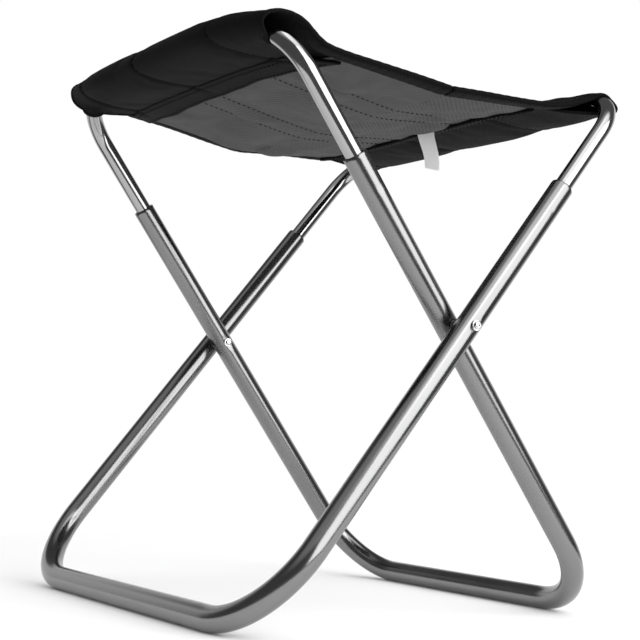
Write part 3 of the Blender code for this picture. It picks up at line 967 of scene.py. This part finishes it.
def add_binding(name, label, cover):
    """The folded tape along one side edge, which thins to a rolled hem round the mouth of the pocket."""
    outward = 1.0 if label == "right" else -1.0
    column = -1 if label == "right" else 0
    normal = surface_normals(cover)
    share = np.linspace(0, 1, COVER_ROWS)
    thin = smooth_step((share - 0.50) / 0.16)
    middle_x = outward * (SEAT_EDGE + 1.0 - 0.5 * TAPE_WIDTH) * MM
    points, up = cover[:, column].copy(), normal[:, column].copy()
    for row in range(COVER_ROWS):
        place = column_at(cover, row, middle_x)
        if 0 < place < COVER_COLUMNS - 1:
            inner, lean = sample_grid(cover, normal, np.array([float(row)]), np.array([place]))
            points[row] = inner[0] + (points[row] - inner[0]) * thin[row]
            up[row] = lean[0] + (up[row] - lean[0]) * thin[row]
    half_width = (0.5 * TAPE_WIDTH + (1.5 - 0.5 * TAPE_WIDTH) * thin) * MM
    half_thickness = (0.5 * TAPE_THICKNESS + (1.0 - 0.5 * TAPE_THICKNESS) * thin) * MM
    pucker = 0.12 * MM * np.sin(np.arange(COVER_ROWS) * 1.9) * (1 - 0.5 * thin)
    points = points - up * (0.75 * (1 - thin) * MM - pucker)[:, None]
    piece = band_piece(f"{name}_edge_tape_{label}", points, up, half_width, half_thickness, "binding_fabric")
    subdivide(piece)
    bake(piece)
    return piece


def add_hem(name, cover):
    """The band that joins the pocket's underside to the lining, and at its ends to the tapes of the side edges."""
    columns, rows = 96, 8
    rim = cover[-1]
    left, right = rim[0, 0] / MM, rim[-1, 0] / MM
    grid = np.zeros((rows, columns, 3))
    flat = np.zeros((rows, columns, 2))
    place = np.linspace(0, 1, columns)
    for row in range(rows):
        share = row / (rows - 1)
        first = left - 1.0 + (right - left + 2.0) * place
        last = -LINING_EDGE + 2 * LINING_EDGE * place
        x = first + (last - first) * share
        start = np.interp(first, rim[:, 0] / MM, (rim[:, 1] - BARS[name].y) * inwards(name) / MM) - 2.0
        end = hem_reach(name, last, 1)
        reach = start + (end - start) * share
        high = np.interp(first, rim[:, 0] / MM, rim[:, 2] / MM) - BARS[name].z / MM
        low = lining_height(name, last, end) - 1.2
        seam = np.min(np.abs(np.array(POCKET_SEAMS[name])[:, None] - x), axis=0)
        height = high + (low - high) * share - 0.55 + 0.25 * np.exp(-(seam / 3.0) ** 2)
        grid[row] = to_world(name, x, reach, height)
        flat[row] = np.stack([x * MM, reach * MM], 1)
    faces = grid_faces(rows, columns, flip=inwards(name) < 0)
    piece = new_object(f"{name}_hem_tape", grid.reshape(-1, 3), faces, "binding_fabric", flat.reshape(-1, 2))
    thicken(piece, HEM_THICKNESS)
    return piece, grid


def stitch_mesh(name, paths, length=2.3 * MM, gap=1.0 * MM, radius=0.24 * MM, lift=0.06 * MM):
    """Rows of thread stitches. Each path is (points, normals), and a stitch dips into the cloth at both ends."""
    sides, rings = 6, 5
    angle = np.linspace(0, 2 * math.pi, sides, endpoint=False)
    vertices, faces, uv = [], [], []
    for points, normals in paths:
        travelled = travel(points)
        place = gap
        while place + length < travelled[-1]:
            at = place + length * np.linspace(0, 1, rings)
            line = np.stack([np.interp(at, travelled, points[:, k]) for k in range(3)], 1)
            up = np.stack([np.interp(at, travelled, normals[:, k]) for k in range(3)], 1)
            up, sideways = path_frame(line, up)
            base = len(vertices) * sides
            rise = np.array([-0.9, 0.35, 0.7, 0.35, -0.9]) * radius + lift
            size = np.array([0.35, 0.9, 1.0, 0.9, 0.35]) * radius
            for k in range(rings):
                vertices.append(line[k] + up[k] * rise[k] + np.outer(np.cos(angle) * size[k], sideways[k])
                                + np.outer(np.sin(angle) * size[k], up[k]))
                uv.append(np.stack([angle * radius, np.full(sides, at[k])], 1))
            faces += ring_faces(rings, sides, first=base)
            faces.append(tuple(base + side for side in range(sides)))
            faces.append(tuple(base + (rings - 1) * sides + side for side in reversed(range(sides))))
            place += length + gap
    return new_object(name, np.vstack(vertices), faces, "thread", np.vstack(uv))


def sample_grid(grid, normal, rows, columns):
    """Points and normals of a grid at fractional rows and columns."""
    r0 = np.clip(np.floor(rows).astype(int), 0, grid.shape[0] - 2)
    c0 = np.clip(np.floor(columns).astype(int), 0, grid.shape[1] - 2)
    fr, fc = (rows - r0)[:, None], (columns - c0)[:, None]

    def mix(field):
        top = field[r0, c0] * (1 - fc) + field[r0, c0 + 1] * fc
        low = field[r0 + 1, c0] * (1 - fc) + field[r0 + 1, c0 + 1] * fc
        return top * (1 - fr) + low * fr

    return mix(grid), mix(normal)


def column_at(grid, row, x):
    """The fractional column of a grid's row where x has a value."""
    return float(np.interp(x, grid[row, :, 0], np.arange(grid.shape[1])))


def add_stitching(name, cover, lining, hem):
    cover_normal = surface_normals(cover)
    lining_normal = surface_normals(lining, upwards=False)
    hem_normal = surface_normals(hem, upwards=False)
    half = 0.5 * CLOTH_THICKNESS
    top_paths, under_paths = [], []
    web_rows = range(1, int(COVER_ROWS * 0.46))
    pocket_rows = range(int(COVER_ROWS * 0.52), COVER_ROWS - 1)

    def lay(paths, grid, normal, rows, columns, out):
        points, normals = sample_grid(grid, normal, np.array(rows, float), np.array(columns))
        paths.append((points + normals * out, normals))

    for seam in PANEL_SEAMS:
        place = [column_at(cover, row, panel_seam_x(seam, cover[row, 0, 1] / MM) * MM) for row in web_rows]
        lay(top_paths, cover, cover_normal, web_rows, place, half)
        rows = range(LINING_ROWS - 2)
        place = [column_at(lining, row, panel_seam_x(seam, lining[row, 0, 1] / MM) * MM) for row in rows]
        lay(under_paths, lining, lining_normal, rows, place, 0.5 * LINING_THICKNESS)
    for x in POCKET_SEAMS[name]:
        lay(top_paths, cover, cover_normal, pocket_rows, [column_at(cover, row, x * MM) for row in pocket_rows], half)
    across = np.arange(2.0, COVER_COLUMNS - 3, 1.0)
    for place in BAR_SEAMS:
        lay(top_paths, cover, cover_normal, np.full(len(across), place * COVER_ROWS), across, half)
    along = np.arange(1.0, hem.shape[1] - 2, 1.0)
    for row in HEM_SEAMS:
        lay(under_paths, hem, hem_normal, np.full(len(along), row), along, 0.5 * HEM_THICKNESS)
    return stitch_mesh(f"{name}_cover_stitches", top_paths), stitch_mesh(f"{name}_lining_stitches", under_paths)


def fold_with(piece):
    """Gives the piece its own copy of its mesh."""
    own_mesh(piece)


def add_seat_half(name):
    body, bar = f"seat_half_{name}", f"{name}_upper_u"
    cover_piece, cover = add_cover(name)
    lining_piece, lining = add_lining(name, cover)
    hem_piece, hem = add_hem(name, cover)
    top_stitches, under_stitches = add_stitching(name, cover, lining, hem)
    thicken(cover_piece, CLOTH_THICKNESS)
    thicken(lining_piece, LINING_THICKNESS)
    fit_slot(cover_piece, body, "cover_fabric", f"{name}_cover", f"{name}_pocket_flap")
    fit_slot(lining_piece, body, "lining_fabric", f"{name}_lining")
    fit_slot(hem_piece, body, "binding_fabric", f"{name}_hem_band")
    fit_slot(top_stitches, body, "binding_fabric")
    fit_slot(under_stitches, body, "binding_fabric")
    pieces = [cover_piece, lining_piece, hem_piece, top_stitches, under_stitches]
    for label in ("right", "left"):
        tape = add_binding(name, label, cover)
        fit_slot(tape, body, "binding_fabric", f"{name}_binding_{label}")
        pieces.append(tape)
    for piece in pieces:
        fold_with(piece)


# The tag's corners, as (across, in from the outer bar, below the bar) in millimetres.
LABEL_TOP = ((9.3, 50.6, -9.6), (24.3, 50.6, -10.2))
LABEL_END = ((19.6, 51.8, -33.2), (32.6, 51.8, -36.8))


def add_label():
    """The blank care tag: a short ribbon that hangs from the outer pocket's hem and curls a little."""
    rows, columns = 26, 14
    share = np.linspace(0, 1, rows)[:, None, None]
    across = np.linspace(0, 1, columns)[None, :, None]
    top, end = (np.array(corners[0]) * (1 - across) + np.array(corners[1]) * across
                for corners in (LABEL_TOP, LABEL_END))
    place = top + (end - top) * share
    place[..., 0] += (3.8 * share * np.sin(math.pi * share))[..., 0]
    place[..., 1] += (np.sin(math.pi * share) + 0.5 * np.sin(math.pi * across))[..., 0]
    grid = to_world("outer", *np.moveaxis(place, -1, 0))
    uv = np.concatenate([across * 15 * MM + 0 * share, share * 24 * MM + 0 * across], -1)
    piece = new_object("care_tag", grid.reshape(-1, 3), grid_faces(rows, columns), "label_fabric", uv.reshape(-1, 2))
    thicken(piece, TAG_THICKNESS)
    fit_slot(piece, "seat_half_outer", "label_fabric", "care_label")
    fold_with(piece)


add_camera()
add_world()
add_floor()
add_area_light("softbox", **SOFTBOX)
for NAME in FRAMES:
    add_tubes(NAME)
add_hardware("right", 1)
add_hardware("left", -1)
for NAME in FRAMES:
    add_seat_half(NAME)
add_label()
bpy.context.scene.view_settings.view_transform = "Standard"
